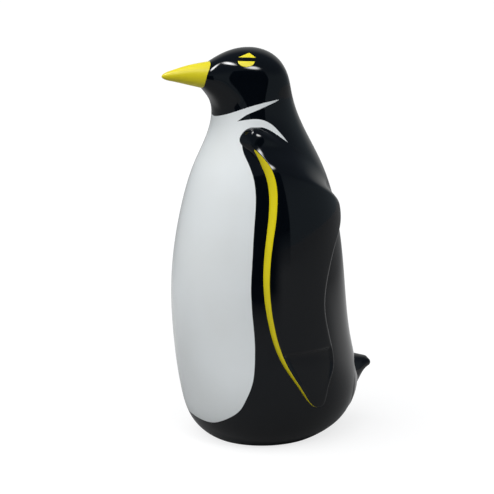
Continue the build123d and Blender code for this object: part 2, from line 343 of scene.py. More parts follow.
def measured(nodes, links, operation, vector, other=(0, 0, 0)):
    """Number that a Vector Math node makes of a vector and a fixed one."""
    node = add_node(nodes, "ShaderNodeVectorMath", operation=operation)
    node.inputs[1].default_value = tuple(other)
    links.new(vector, node.inputs[0])
    return node.outputs["Value"]


def add_bump(nodes, links, shader, height, strength, distance):
    """Fine relief on a shader."""
    bump = add_node(nodes, "ShaderNodeBump", Strength=strength, Distance=distance)
    links.new(height, bump.inputs["Height"])
    links.new(bump.outputs["Normal"], shader.inputs["Normal"])


def make_matt(shader, roughness):
    """Takes a shader's gloss away."""
    shader.inputs["Roughness"].default_value = roughness
    shader.inputs["Specular IOR Level"].default_value = 0.0


# Lacquers: colours, then roughness, then noises as (scale, detail)
BLACK = (0.0010, 0.0022, 0.0040)
BLACK_WORN = (0.0018, 0.0030, 0.0046)
WHITE = (0.79, 0.815, 0.82)
WHITE_AGED = (0.765, 0.785, 0.78)
YELLOW = (0.86, 0.74, 0.010)
# The next yellow is the beak's aged tone and also the stripe's paint. The stripe's darker yellows are
# painted shade on its forward-facing edge, not a different paint.
YELLOW_AGED_AND_SHADED = (0.74, 0.62, 0.007)
YELLOW_SHADED_AGED = (0.64, 0.53, 0.005)
GLOSS = (0.045, 0.095)
SATIN = (0.36, 0.44)
LACQUER_IOR = 1.49
AGE_NOISE = (22.0, 4.0)
AGE_SPAN = (0.35, 0.7)
ROUGH_NOISE = (55.0, 5.0)
ROUGH_SPAN = (0.3, 0.75)
PEEL_NOISE = (260.0, 2.0)
WAVE_NOISE = (38.0, 1.0)
WAVE_GAIN = 6.0
LACQUER_BUMP = (0.5, 0.000012)

# Edge between two paints: its sway and spans in millimetres, and the step of the upper film
SWAY_NOISE = (90.0, 2.0)
SWAY = (-0.16, 0.16)
EDGE_SPAN = (-0.11, 0.11)
FILM_SPAN = (-0.35, 0.35)
FILM_GAIN = 9.0


def lacquer(name, ground, ground_aged, gloss, mark=None, mark_aged=None, field=None):
    """Gloss paint with a faint orange peel, and a second paint where a field is above zero."""
    material, nodes, links, shader = new_material(name)
    age = ranged(nodes, links, noise(nodes, links, *AGE_NOISE), AGE_SPAN)
    colour = mixed(nodes, links, age, ground, ground_aged)
    surface = add_node(nodes, "ShaderNodeMath", operation="MULTIPLY_ADD")
    links.new(noise(nodes, links, *WAVE_NOISE), surface.inputs[0])
    surface.inputs[1].default_value = WAVE_GAIN
    links.new(noise(nodes, links, *PEEL_NOISE), surface.inputs[2])
    height = surface.outputs[0]
    if field:
        edge = add_node(nodes, "ShaderNodeAttribute", attribute_name=field)
        sway = ranged(nodes, links, noise(nodes, links, *SWAY_NOISE), (0.0, 1.0), SWAY)
        total = combined(nodes, links, "ADD", edge.outputs["Fac"], sway)
        marked = ranged(nodes, links, total, EDGE_SPAN, steps="SMOOTHSTEP")
        colour = mixed(nodes, links, marked, colour, mixed(nodes, links, age, mark, mark_aged))
        film = ranged(nodes, links, total, FILM_SPAN, (0.0, FILM_GAIN), "SMOOTHSTEP")
        height = combined(nodes, links, "ADD", height, film)
    links.new(colour, shader.inputs["Base Color"])
    rough = ranged(nodes, links, noise(nodes, links, *ROUGH_NOISE), ROUGH_SPAN, gloss)
    links.new(rough, shader.inputs["Roughness"])
    shader.inputs["IOR"].default_value = LACQUER_IOR
    add_bump(nodes, links, shader, height, *LACQUER_BUMP)
    return material


body_paint = lacquer("body_lacquer", BLACK, BLACK_WORN, GLOSS, WHITE, WHITE_AGED, "bib")
# The stripe takes the two darker yellows: painted shade for its forward-facing edge.
flipper_paint = lacquer("flipper_lacquer", BLACK, BLACK_WORN, GLOSS, YELLOW_AGED_AND_SHADED, YELLOW_SHADED_AGED, "stripe")
black_paint = lacquer("black_lacquer", BLACK, BLACK_WORN, GLOSS)
yellow_paint = lacquer("yellow_lacquer", YELLOW, YELLOW_AGED_AND_SHADED, SATIN)

# Closing plate and pegs, which stay as their CAD nodes
PLATE_NOISE = (900.0, 3.0)
PLATE_COLOURS = (0.012, 0.012, 0.013), (0.022, 0.022, 0.024)
PLATE_SPAN = (0.3, 0.7)
PLATE_ROUGH = (0.5, 0.68)
PLATE_BUMP = (0.5, 0.00008)
WOOD_RINGS = {"Scale": 260.0, "Distortion": 3.0, "Detail": 3.0}
WOOD_COLOURS = (0.52, 0.36, 0.20), (0.40, 0.25, 0.12)
WOOD_SPAN = (0.0, 1.0)
WOOD_ROUGH = (0.55, 0.7)
WOOD_BUMP = (0.4, 0.0001)


def plate_material():
    material, nodes, links, shader = new_material("plate_plastic")
    grain = noise(nodes, links, *PLATE_NOISE)
    links.new(mixed(nodes, links, grain, *PLATE_COLOURS), shader.inputs["Base Color"])
    links.new(ranged(nodes, links, grain, PLATE_SPAN, PLATE_ROUGH), shader.inputs["Roughness"])
    add_bump(nodes, links, shader, grain, *PLATE_BUMP)
    return material


def wood_material():
    material, nodes, links, shader = new_material("peg_wood")
    place = add_node(nodes, "ShaderNodeTexCoord")
    rings = add_node(nodes, "ShaderNodeTexWave", wave_type="RINGS", **WOOD_RINGS)
    links.new(place.outputs["Object"], rings.inputs["Vector"])
    grain = rings.outputs["Fac"]
    links.new(mixed(nodes, links, grain, *WOOD_COLOURS), shader.inputs["Base Color"])
    links.new(ranged(nodes, links, grain, WOOD_SPAN, WOOD_ROUGH), shader.inputs["Roughness"])
    add_bump(nodes, links, shader, grain, *WOOD_BUMP)
    return material


def dress(node, material):
    """Gives a CAD node that stays in view its material."""
    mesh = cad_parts[node].data
    mesh.materials.clear()
    mesh.materials.append(material)


peg_wood = wood_material()
dress("base_plate", plate_material())
for peg in ("beak_dowel", "tail_dowel", "left_flipper_dowels", "right_flipper_dowels"):
    dress(peg, peg_wood)

# White paint of the bib and the two prongs at the neck, as (turn from the front in degrees, height)
BIB_EDGE = [
    (0, 19.8), (17, 19.3), (28, 20.3), (37, 23.8), (45, 28.4), (51.5, 34.0), (57, 44.0),
    (61.5, 56.0), (63.5, 70.0), (64.2, 85.0), (63.4, 105.0), (62.8, 130.0), (64, 151.0),
    (65.4, 172.0), (67, 189.0), (67.1, 199.0), (65.7, 208.0), (61.4, 217.5), (55.0, 227.0),
    (54.2, 232.0), (59, 236.0),
]
LOWER_PRONG = [
    (70, 237.5), (85, 235.5), (104, 231.0), (108.4, 230.2), (101.2, 238.4), (93.4, 244.1),
    (84.4, 247.5), (71.7, 248.9), (58.7, 248.3), (45.8, 247.0),
]
UPPER_PRONG = [
    (59.1, 251.4), (77, 255.4), (94, 259.0), (113.2, 262.8), (87, 260.5), (63.6, 257.3),
    (40.6, 253.4), (15, 250.2), (0, 249.4),
]
PRONG_TIP = 3
PAINT_TURN = 125
PAINT_LOW = 8
PAINT_HIGH = 272
UNPAINTED = -20.0

# Rows of the body, as (from, to, count), with the crown's rows closer towards its top
BODY_COLUMNS = 320
BODY_ROWS = [(0, 14, 15), (14, 222, 150), (222, 268, 70), (268, 288, 24)]
CROWN_START = 288
CROWN_ROWS = 40
CROWN_CAP = 0.15
CROWN_CAP_RISE = 0.3
FOOT_EDGE = 0.8
RIM_WIDTH = 8.0
PLATE_THICKNESS = 5.0


def bib_loop():
    """Closed outline of the white paint, as (turn in degrees, height)."""
    past = PRONG_TIP + 1
    bib = line_through(BIB_EDGE, start=(1, 0), end=(1, 0.5), count=90)
    under = np.array(LOWER_PRONG[:past], float)
    lower = line_through(LOWER_PRONG[past:], start=(-0.7, 0.7), end=(-1, -0.12), count=40)
    notch = [LOWER_PRONG[-1]] + UPPER_PRONG[:past]
    upper_back = line_through(notch, start=(1, 0.3), end=(1, 0.22), count=40)
    upper = line_through(UPPER_PRONG[PRONG_TIP:], start=(-1, -0.08), end=(-1, 0), count=50)
    half = np.vstack([bib, under, lower, upper_back, upper])
    other = half[::-1].copy()
    other[:, 0] *= -1
    return np.vstack([half, other])


def around(z):
    """Millimetres of skin per degree of turn at height z."""
    _, depth, _, width, _ = measures(z)
    return np.radians((depth + width) / 2)


def bib_field(z, turn):
    """Distance in millimetres inside the edge of the white paint."""
    loop = bib_loop()
    loop[:, 0] *= around(loop[:, 1])
    degrees = np.degrees(turn)
    degrees = np.where(degrees > 180, degrees - 360, degrees)
    flat = np.stack([degrees * around(z), z], -1).reshape(-1, 2)
    field = np.full(len(flat), UNPAINTED)
    near = (np.abs(degrees.ravel()) < PAINT_TURN) & (flat[:, 1] > PAINT_LOW) & (flat[:, 1] < PAINT_HIGH)
    gap = distance_to(flat[near], loop, closed=True)
    field[near] = np.where(within_polygon(flat[near], loop), gap, -gap)
    return field


def body_heights():
    """Heights of the body's rows."""
    rows = [np.linspace(low, high, count)[:-1] for low, high, count in BODY_ROWS]
    share = np.sin(np.linspace(0, 1, CROWN_ROWS) * math.pi / 2)
    return np.concatenate(rows + [CROWN_START + (HEIGHT - CROWN_CAP - CROWN_START) * share])


def build_body():
    """Body and head in one piece, with the rim and the recess of the closing plate underneath."""
    heights = body_heights()
    turns = np.linspace(0, 2 * math.pi, BODY_COLUMNS, endpoint=False)
    z, turn = np.meshgrid(heights, turns, indexing="ij")
    outside = skin(z, turn)
    foot = outside[0]
    along = np.roll(foot, -1, axis=0) - np.roll(foot, 1, axis=0)
    inward = np.stack([-along[:, 1], along[:, 0], 0 * along[:, 0]], -1)
    inward /= np.linalg.norm(inward, axis=1)[:, None]
    opening = foot + inward * RIM_WIDTH
    ceiling = opening + np.array([0, 0, PLATE_THICKNESS])
    rim = np.vstack([ceiling, opening, foot + inward * FOOT_EDGE])
    top = outside[-1].mean(0) + [0, 0, CROWN_CAP * CROWN_CAP_RISE]
    rings = np.vstack([rim, outside.reshape(-1, 3)])
    vertices = np.vstack([rings, top, ceiling.mean(0)])
    faces = capped_faces(len(rings) // BODY_COLUMNS, BODY_COLUMNS)
    piece = add_mesh("body", vertices, faces, body_paint)
    bare = np.full(len(rim), UNPAINTED)
    add_field(piece, "bib", np.concatenate([bare, bib_field(z, turn), [UNPAINTED, UNPAINTED]]))
    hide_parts("body_shell")


build_body()

# Beak, flush with the snout at its seat: taper as (share of the seat's size, share of the length)
BEAK_LENGTH = 34.4
BEAK_SEAT = np.array([0.0, -46.5, 280.0])
BEAK_TAPER = [(1.0, 0.0), (0.87, 0.18), (0.60, 0.54), (0.465, 0.70), (0.30, 0.885), (0.0, 1.0)]
BEAK_TAPER_START = (-0.7, 1)
BEAK_TAPER_END = (-1, 0)
BEAK_COLUMNS = 72
BEAK_FAR = 26.0
BEAK_RISE = 0.14

# Along the beak, in shares of its length: the hidden root, the rings, and where each form ends
BEAK_ROOT = -0.025
BEAK_ROOT_SIZE = 0.95
BEAK_SHAFT = (0.012, 0.88)
BEAK_SHAFT_RINGS = 34
BEAK_NOSE = (0.08, 0.995)
BEAK_NOSE_RINGS = 16
BEAK_TILT = math.radians(18)
BEAK_TILT_END = 0.75
BEAK_TILT_POWER = 1.3
BEAK_ROUND_START = 0.3
BEAK_BOW = 2.2
BEAK_BOW_END = 0.5
BEAK_ARCH = 0.4


def beak_places():
    """Where the beak's rings lie, closer together towards its tip."""
    turn = BEAK_SHAFT[1]
    shaft = np.linspace(*BEAK_SHAFT, BEAK_SHAFT_RINGS)
    nose = turn + (1 - turn) * np.sin(np.linspace(*BEAK_NOSE, BEAK_NOSE_RINGS) * math.pi / 2)
    return np.concatenate([[BEAK_ROOT, 0.0], shaft, nose])


def build_beak():
    angles = np.linspace(0, 2 * math.pi, BEAK_COLUMNS, endpoint=False)
    side = np.sin(angles)
    rise = np.cos(angles)
    ray = np.stack([side, rise * math.sin(BEAK_TILT), rise * math.cos(BEAK_TILT)], -1)
    bow = np.stack([0 * side, -BEAK_BOW * side**2, 0 * side], -1)
    ring = onto_skin(BEAK_SEAT + bow, ray, BEAK_FAR)
    reach = np.linalg.norm(ring - BEAK_SEAT - bow, axis=1) + BEAK_RISE
    taper = line_through(BEAK_TAPER, BEAK_TAPER_START, BEAK_TAPER_END)
    rings = []
    for along in beak_places():
        share = BEAK_ROOT_SIZE if along < 0 else np.interp(along, taper[:, 1], taper[:, 0])
        tilt = BEAK_TILT * max(0.0, 1 - along / BEAK_TILT_END) ** BEAK_TILT_POWER
        even = step(along, BEAK_ROUND_START, 1.0)
        size = share * (reach * (1 - even) + reach.mean() * even)
        arch = BEAK_ARCH * math.sin(math.pi * max(along, 0.0))
        middle = BEAK_SEAT + np.array([0, -BEAK_LENGTH * along, arch])
        middle = middle + bow * max(0.0, 1 - along / BEAK_BOW_END)
        spread = np.stack([side * size, rise * size * math.sin(tilt), rise * size * math.cos(tilt)], -1)
        rings.append(middle + spread)
    tip = BEAK_SEAT + np.array([0, -BEAK_LENGTH, 0])
    vertices = np.vstack(rings + [tip, BEAK_SEAT])
    faces = turned_out(capped_faces(len(rings), BEAK_COLUMNS))
    piece = add_mesh("beak_cone", vertices, faces, yellow_paint)
    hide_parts("beak")


build_beak()

# Eyes: a gable over a bowl, lying on the curve of the head
EYE_TURN = 65
EYE_LIFT = 12
EYE_MIDDLE = np.array([0.0, -11.9, 288.0])
EYE_WIDTH = 12.4
EYE_GAP = 3.0
GABLE_HEIGHT = 4.1
GABLE_LEAD = 1.4
GABLE_EDGE = 0.25
BOWL_DEPTH = 4.6
BOWL_EDGE = 0.3
BOWL_POWER = 1.15
BOWL_SHIFT = 0.6
EYE_COLUMNS = 41
EYE_ROWS = 13
EYE_FAR = 45.0
EYE_RISE = 0.16
EYE_EDGE_RISE = 0.35
EYE_BEVEL = 0.12
EYE_SINK = 0.5


def eye_marks():
    """Outlines of the two marks, each as its columns with an upper and a lower edge."""
    across = np.linspace(-1, 1, EYE_COLUMNS)
    half = EYE_WIDTH / 2
    low = EYE_GAP / 2
    a = across * half
    up = (a + half) / (GABLE_LEAD + half)
    down = (half - a) / (half - GABLE_LEAD)
    peak = np.where(a < GABLE_LEAD, up, down)
    gable = a, low + GABLE_EDGE + (GABLE_HEIGHT - GABLE_EDGE) * peak, np.full_like(a, low)
    drop = np.sqrt(np.clip(1 - across**2, 0, 1)) ** BOWL_POWER
    bowl = a - BOWL_SHIFT, np.full_like(a, -low), -low - BOWL_EDGE - (BOWL_DEPTH - BOWL_EDGE) * drop
    return gable, bowl


def eye_rim(rows, columns):
    """Vertices round the edge of an open grid."""
    return (
        list(range(columns))
        + [r * columns + columns - 1 for r in range(1, rows)]
        + [(rows - 1) * columns + c for c in range(columns - 2, -1, -1)]
        + [r * columns for r in range(rows - 2, 0, -1)]
    )


def build_eye(name, node, mirror):
    sight = direction(EYE_TURN, EYE_LIFT)
    right = direction(EYE_TURN + 90, 0)
    up = np.cross(sight, right)
    shares = np.linspace(0, 1, EYE_ROWS)[:, None]
    bevel = smooth(np.minimum(shares, 1 - shares) / EYE_BEVEL)
    rise = EYE_RISE * (EYE_EDGE_RISE + (1 - EYE_EDGE_RISE) * bevel)
    rim = eye_rim(EYE_ROWS, EYE_COLUMNS)
    vertices = []
    faces = []
    first = 0
    for a, top, bottom in eye_marks():
        b = bottom + (top - bottom) * shares
        start = EYE_MIDDLE + a[None, :, None] * right + b[..., None] * up
        ground = onto_skin(start, sight, EYE_FAR)
        front = ground + rise[..., None] * sight
        behind = ground - EYE_SINK * sight
        vertices += [front.reshape(-1, 3), behind.reshape(-1, 3)]
        back = first + EYE_ROWS * EYE_COLUMNS
        faces += grid_faces(EYE_ROWS, EYE_COLUMNS, False, first)
        faces += turned_out(grid_faces(EYE_ROWS, EYE_COLUMNS, False, back))
        for p, q in zip(rim, rim[1:] + rim[:1]):
            faces.append((first + q, first + p, back + p, back + q))
        first = back + EYE_ROWS * EYE_COLUMNS
    vertices = np.vstack(vertices)
    if mirror:
        vertices, faces = mirrored_shape(vertices, faces)
    piece = add_mesh(name, vertices, faces, yellow_paint)
    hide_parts(node)


build_eye("left_eye_inlay", "left_eye", False)
build_eye("right_eye_inlay", "right_eye", True)

# Flippers: a layer on each flank with a walled leading edge that carries the yellow stripe.
# Outline, square to the flank, as (along, height from the shoulder)
FLANK_LEAN = math.radians(14)
FLIPPER_OUTLINE = [
    (-26.0, 31.5), (-30.8, 30.0), (-34.4, 26.2), (-36.6, 20.0), (-33.2, 13.0), (-28.3, -1.0),
    (-29.0, -20.0), (-34.7, -48.6), (-38.3, -80.0), (-36.0, -109.0), (-26.7, -142.0), (-13.0, -164.0),
    (4.6, -178.8), (7.6, -178.2), (11.5, -166.5), (18.0, -150.0), (15.5, -127.0), (10.5, -100.0),
    (15.8, -76.0), (27.6, -54.0), (37.5, -40.0), (37.8, -23.0), (29.5, -7.0), (9.0, 10.0), (-9.5, 23.7),
]

# Thickness at the leading and the trailing edge, as (thickness, height), the same over the knob
KNOB_WALL = [
    (8.2, 229.5), (8.3, 233), (8.25, 236), (8.1, 238.5), (7.9, 240.5), (7.7, 242.5), (7.5, 244),
]
LEAD_WALL = [
    (0.6, 33), (1.7, 43), (2.7, 58), (3.5, 85), (4.1, 112), (5.2, 150), (5.9, 175), (6.3, 195),
    (6.8, 211), (7.2, 223), *KNOB_WALL,
]
TRAIL_WALL = [
    (0.6, 33), (1.9, 46), (2.4, 80), (2.6, 112), (3.7, 142), (5.6, 163), (7.6, 178), (8.2, 194),
    (8.0, 214), *KNOB_WALL,
]

# Rows and columns: the steps across an edge are in widths of that edge
FLIPPER_ROWS = 190
ROWS_EVEN = 0.45
LEAD_STEPS = np.array([0, 0.03, 0.08, 0.15, 0.25, 0.37, 0.5, 0.64, 0.78, 0.9, 1.0, 1.1, 1.25, 1.5, 1.9])
TRAIL_STEPS = np.array([1.6, 1.25, 1.0, 0.78, 0.55, 0.34, 0.17, 0.06, 0.0])
CREST_COLUMN = 10
MIDDLE_COLUMNS = 30
FLIPPER_FAR = 95.0
FLIPPER_SINK = 0.6

# Leading edge: its width, which grows twice on the way up, and how steeply it climbs.
# A span is the heights between which something changes
LEAD_WIDTH = 0.8
LEAD_GROWTHS = (1.0, 0.7)
LEAD_GROWTH_SPANS = ((40, 85), (150, 215))
LEAD_WIDTH_SHARE = 0.24
LEAD_POWER = 2.3
LEAD_POWER_LOSS = 0.9
LEAD_POWER_SPAN = (190, 220)

# Trailing edge, which spreads over most of the width above the elbow
TRAIL_WIDTH = 3.0
TRAIL_WIDTH_SHARE = 0.2
TRAIL_POWER = 2.0
TRAIL_SOFT_SPAN = (178, 196)
ELBOW_WIDTH = 46.0
ELBOW_WIDTH_SHARE = 0.92
ELBOW_SPAN = (182, 216)

# Hollow near the tip, deepest below the step at its upper end
HOLLOW_DEPTH = 2.5
HOLLOW_SPAN = (42, 76)
HOLLOW_STEP_SPAN = (76, 80)
HOLLOW_LEAD = 3.5
HOLLOW_TRAIL = 5
THINNEST = 0.3

# Knob at the shoulder, rounded over its edge and falling away from its ridge
KNOB_LEAD_LOW = 231
KNOB_TRAIL_LOW = 230
KNOB_EDGE_STRIDE = 4
KNOB_CAP_SPAN = (233, 239)
KNOB_ROUND = 1.6
KNOB_ROUND_POWER = 2.2
RIDGE_SPAN = (214, 232)
RIDGE_DECAY = 13
RIDGE_DECAY_GAIN = 22
RIDGE_DECAY_SPAN = (226, 242)
RIDGE_START = 3.0
RIDGE_SOFTNESS = 1.5
RIDGE_TRAIL = 14
KNOB_PASSES = 10
KNOB_PULL = 0.8
KNOB_PULL_SPAN = (216, 228)

# Yellow stripe on the leading edge, which runs out at the knob
STRIPE_INSET = 0.25
STRIPE_FOOT = 0.4
STRIPE_TAPER_SPAN = (212, 229)
STRIPE_TAPER_POWER = 1.6
STRIPE_END_SPAN = (227, 231)
STRIPE_END_DROP = 3.0
STRIPE_LIMIT = 2.0
STRIPE_TIP = 1.0


def ramp(points, z):
    """Thickness at height z on a line through (thickness, height) points."""
    line = line_through(points, np.subtract(points[1], points[0]), np.subtract(points[-1], points[-2]))
    return np.interp(z, line[:, 1], line[:, 0])


def rounded(share, power):
    """Rise of a rounded edge, from 0 at its foot to 1 at its crest."""
    return (1 - (1 - np.clip(share, 0, 1)) ** power) ** (1 / power)


def flipper_edges():
    """Leading and trailing edge of the outline, each from the tip up."""
    loop = loop_through(FLIPPER_OUTLINE)
    loop[:, 1] += SHOULDER
    loop = np.roll(loop, -int(np.argmax(loop[:, 1])), axis=0)
    low = int(np.argmin(loop[:, 1]))
    return loop[:low + 1][::-1], np.vstack([loop[low:], loop[:1]])


def flipper_heights(low, high):
    """Heights of the flipper's rows as a column, closer together towards both ends."""
    v = np.linspace(0, 1, FLIPPER_ROWS + 2)[1:-1]
    share = ROWS_EVEN * v + (1 - ROWS_EVEN) * (1 - np.cos(math.pi * v)) / 2
    return (low + (high - low) * share)[:, None]


def columns_across(wide, lead_wide, trail_wide):
    """Distances from the leading edge, close together at both edges."""
    first = lead_wide * LEAD_STEPS
    final = wide - trail_wide * TRAIL_STEPS
    inner = np.linspace(0, 1, MIDDLE_COLUMNS + 2)[1:-1]
    middle = first[:, -1:] + (final[:, :1] - first[:, -1:]) * inner
    return np.hstack([first, middle, final])


def knob_gap(lead, trail, u, z):
    """Distance from the outline over the knob."""
    lead_over = lead[lead[:, 1] > KNOB_LEAD_LOW]
    trail_over = trail[trail[:, 1] > KNOB_TRAIL_LOW][::-1]
    over = np.vstack([lead_over, trail_over])[::KNOB_EDGE_STRIDE]
    return distance_to(np.stack([u, z], -1).reshape(-1, 2), over).reshape(u.shape)


def flipper_relief(a, u, z, wide, lead_wide, trail_wide, gap):
    """How far the flipper stands off the flank, at distance a from its leading edge."""
    b = wide - a
    part = smooth(a / wide)
    thickness = ramp(LEAD_WALL, z) * (1 - part) + ramp(TRAIL_WALL, z) * part
    hollow = HOLLOW_DEPTH * slope(z, *HOLLOW_SPAN) * (1 - step(z, *HOLLOW_STEP_SPAN))
    scoop = smooth((a - lead_wide) / HOLLOW_LEAD) * smooth(b / HOLLOW_TRAIL)
    thickness = np.maximum(thickness - hollow * scoop, THINNEST)

    climb = rounded(a / lead_wide, LEAD_POWER - LEAD_POWER_LOSS * step(z, *LEAD_POWER_SPAN))
    cap = step(z, *KNOB_CAP_SPAN)
    rise = (climb * (1 - cap) + cap) * rounded(gap / KNOB_ROUND, KNOB_ROUND_POWER)

    elbow_wide = np.minimum(ELBOW_WIDTH, ELBOW_WIDTH_SHARE * wide)
    edge = b / (trail_wide + (elbow_wide - trail_wide) * step(z, *ELBOW_SPAN))
    soft = step(z, *TRAIL_SOFT_SPAN)
    fall = rounded(edge, TRAIL_POWER) * (1 - soft) + smooth(edge) * soft

    decay = RIDGE_DECAY + RIDGE_DECAY_GAIN * step(z, *RIDGE_DECAY_SPAN)
    past = np.logaddexp(0, (u - u.min() - RIDGE_START) / RIDGE_SOFTNESS) * RIDGE_SOFTNESS
    ridge = np.exp(-past / decay) * smooth(b / RIDGE_TRAIL)
    upper = step(z, *RIDGE_SPAN)
    return thickness * rise * (fall * (1 - upper) + ridge * upper)


def soften_knob(relief, z):
    """Evens out the relief at the knob, each point towards its four neighbours."""
    pull = KNOB_PULL * step(z[1:-1, 1:-1], *KNOB_PULL_SPAN)
    for _ in range(KNOB_PASSES):
        own = relief[1:-1, 1:-1]
        nearby = (relief[:-2, 1:-1] + relief[2:, 1:-1] + relief[1:-1, :-2] + relief[1:-1, 2:]) / 4
        relief[1:-1, 1:-1] = own + pull * (nearby - own)


def stripe_field(front, z):
    """Distance in millimetres inside the edge of the yellow stripe."""
    steps = np.linalg.norm(np.diff(front, axis=1), axis=2)
    climbed = np.concatenate([np.zeros((len(front), 1)), np.cumsum(steps, axis=1)], axis=1)
    crest = climbed[:, CREST_COLUMN][:, None]
    foot = crest * slope(z, *STRIPE_TAPER_SPAN) ** STRIPE_TAPER_POWER
    stripe = np.minimum(crest - STRIPE_INSET - climbed, climbed - foot + STRIPE_FOOT)
    return np.clip(stripe - STRIPE_END_DROP * step(z, *STRIPE_END_SPAN), -STRIPE_LIMIT, STRIPE_LIMIT)


def build_flipper(name, node, mirror):
    lead, trail = flipper_edges()
    heights = flipper_heights(lead[0, 1], lead[-1, 1])
    lead_u = np.interp(heights, lead[:, 1], lead[:, 0])
    wide = np.interp(heights, trail[:, 1], trail[:, 0]) - lead_u
    lead_wide = LEAD_WIDTH
    for growth, span in zip(LEAD_GROWTHS, LEAD_GROWTH_SPANS):
        lead_wide = lead_wide + growth * step(heights, *span)
    lead_wide = np.minimum(lead_wide, LEAD_WIDTH_SHARE * wide)
    trail_wide = np.minimum(TRAIL_WIDTH, TRAIL_WIDTH_SHARE * wide)
    a = columns_across(wide, lead_wide, trail_wide)
    u = lead_u + a
    z = np.broadcast_to(heights, u.shape)
    relief = flipper_relief(a, u, z, wide, lead_wide, trail_wide, knob_gap(lead, trail, u, z))
    soften_knob(relief, z)

    outward = np.array([math.cos(FLANK_LEAN), math.sin(FLANK_LEAN), 0.0])
    start = np.stack([-math.sin(FLANK_LEAN) * u, math.cos(FLANK_LEAN) * u, z], -1)
    ground = onto_skin(start, outward, FLIPPER_FAR)
    front = ground + relief[..., None] * outward
    behind = (ground - FLIPPER_SINK * outward)[:, ::-1]
    grid = np.concatenate([front, behind], axis=1)
    stripe = stripe_field(front, z)
    hidden = np.full_like(stripe, -STRIPE_LIMIT)
    hidden[:, -1] = stripe[:, 0]
    fields = np.concatenate([stripe, hidden], axis=1)

    rows, columns = fields.shape
    vertices = np.vstack([grid.reshape(-1, 3), grid[-1].mean(0), grid[0].mean(0)])
    faces = capped_faces(rows, columns)
    if mirror:
        vertices, faces = mirrored_shape(vertices, faces)
    piece = add_mesh(name, vertices, faces, flipper_paint)
    add_field(piece, "stripe", np.concatenate([fields.ravel(), [-STRIPE_LIMIT, STRIPE_TIP]]))
    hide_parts(node)


build_flipper("left_wing", "left_flipper", False)
build_flipper("right_wing", "right_flipper", True)

# Tail: a short wedge that runs smoothly out of the rump
TAIL_LENGTH = 17.0
TAIL_ROOT_DEPTH = 12.0
TAIL_ROOT_DROP = 23.0
TAIL_ROOT_RISE = 26.0
TAIL_ROOT_WIDTH = 52.0
TAIL_END_RISE = 15.4
TAIL_END_WIDTH = 9.0
TAIL_END_HEIGHT = 8.0
TAIL_REACH = TAIL_ROOT_DEPTH + TAIL_LENGTH
TAIL_TAPER = 0.77
TAIL_ROUND = 2.7
TAIL_COLUMNS = 120
TAIL_RINGS = 70
TAIL_END_SPAN = (0.06, 0.99)
TAIL_END_RINGS = 14
TAIL_FAR = 260.0

# Skirt of the tail inside the rump, and the fillet between the two, wider at the sides
TAIL_SKIRT = 10.0
TAIL_SKIRT_LOSS = 0.5
TAIL_BLEND = 3.0
TAIL_BLEND_SIDE = 13
TAIL_BLEND_POWER = 4
TAIL_SINK = 0.12
TAIL_SINK_FADE = 2.5
RUMP_MARGIN = 0.5


def tail_section(along):
    """Half width, half height and middle of the tail, that far from its root."""
    share = max(along / TAIL_REACH, 0.0)
    low = -TAIL_ROOT_DROP + (TAIL_END_RISE - TAIL_END_HEIGHT + TAIL_ROOT_DROP) * smooth(share)
    high = TAIL_ROOT_RISE + (TAIL_END_RISE - TAIL_ROOT_RISE) * share**TAIL_TAPER
    width = TAIL_ROOT_WIDTH + (TAIL_END_WIDTH - TAIL_ROOT_WIDTH) * share**TAIL_TAPER
    past = max(0.0, along - (TAIL_REACH - TAIL_ROUND)) / TAIL_ROUND
    trim = TAIL_ROUND * (1 - math.sqrt(max(0.0, 1 - past**2)))
    return width / 2 - trim, (high - low) / 2 - trim, (high + low) / 2


def tail_places():
    """Where the tail's rings lie, closer together towards its end."""
    straight = np.linspace(-TAIL_SKIRT, TAIL_REACH - TAIL_ROUND, TAIL_RINGS)
    share = np.sin(np.linspace(*TAIL_END_SPAN, TAIL_END_RINGS) * math.pi / 2)
    return np.concatenate([straight, TAIL_REACH - TAIL_ROUND + TAIL_ROUND * share])


def build_tail():
    angles = np.linspace(0, 2 * math.pi, TAIL_COLUMNS, endpoint=False)
    ray = np.stack([np.sin(angles), 0 * angles, np.cos(angles)], -1)
    blend = TAIL_BLEND + TAIL_BLEND_SIDE * np.sin(angles) ** TAIL_BLEND_POWER
    rings = []
    for along in tail_places():
        half_width, half_height, middle = tail_section(along)
        axis = np.array([0.0, RUMP_BACK - TAIL_ROOT_DEPTH + along, RUMP + middle])
        own = 1 / np.hypot(np.sin(angles) / half_width, np.cos(angles) / half_height)
        own = own * (1 - TAIL_SKIRT_LOSS * smooth(-along / TAIL_SKIRT))
        rump = np.zeros_like(own)
        if axis[1] < RUMP_BACK - RUMP_MARGIN:
            edge = onto_skin(np.broadcast_to(axis, ray.shape), ray, TAIL_FAR)
            rump = np.linalg.norm(edge - axis, axis=1)
        near = np.clip(1 - np.abs(own - rump) / blend, 0, 1)
        joined = np.maximum(own, rump) + blend / 4 * near**2
        sunk = np.where(own < rump, TAIL_SINK * (1 - smooth(near * TAIL_SINK_FADE)), 0.0)
        rings.append(axis + ray * (joined - sunk)[:, None])
    vertices = np.vstack(rings + [rings[-1].mean(0), rings[0].mean(0)])
    piece = add_mesh("tail_wedge", vertices, capped_faces(len(rings), TAIL_COLUMNS), black_paint)
    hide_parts("tail")


build_tail()

# Floor: white to the camera, and in reflections paler behind the figure, where the backdrop is
FLOOR_HALF = 14.0
FLOOR_NOISE = (3.0, 2.0)
FLOOR_COLOURS = (0.25, 0.25, 0.25), (0.26, 0.26, 0.26)
FLOOR_ROUGHNESS = 0.9
FLOOR_GLOW = 0.78
FLOOR_MIRRORED = 0.45
FLOOR_BEHIND = (-0.05, 0.25)
FLOOR_FADE = (0.4, 1.1)
BACKDROP_TURN = 245
BACKDROP_LIFT = 15


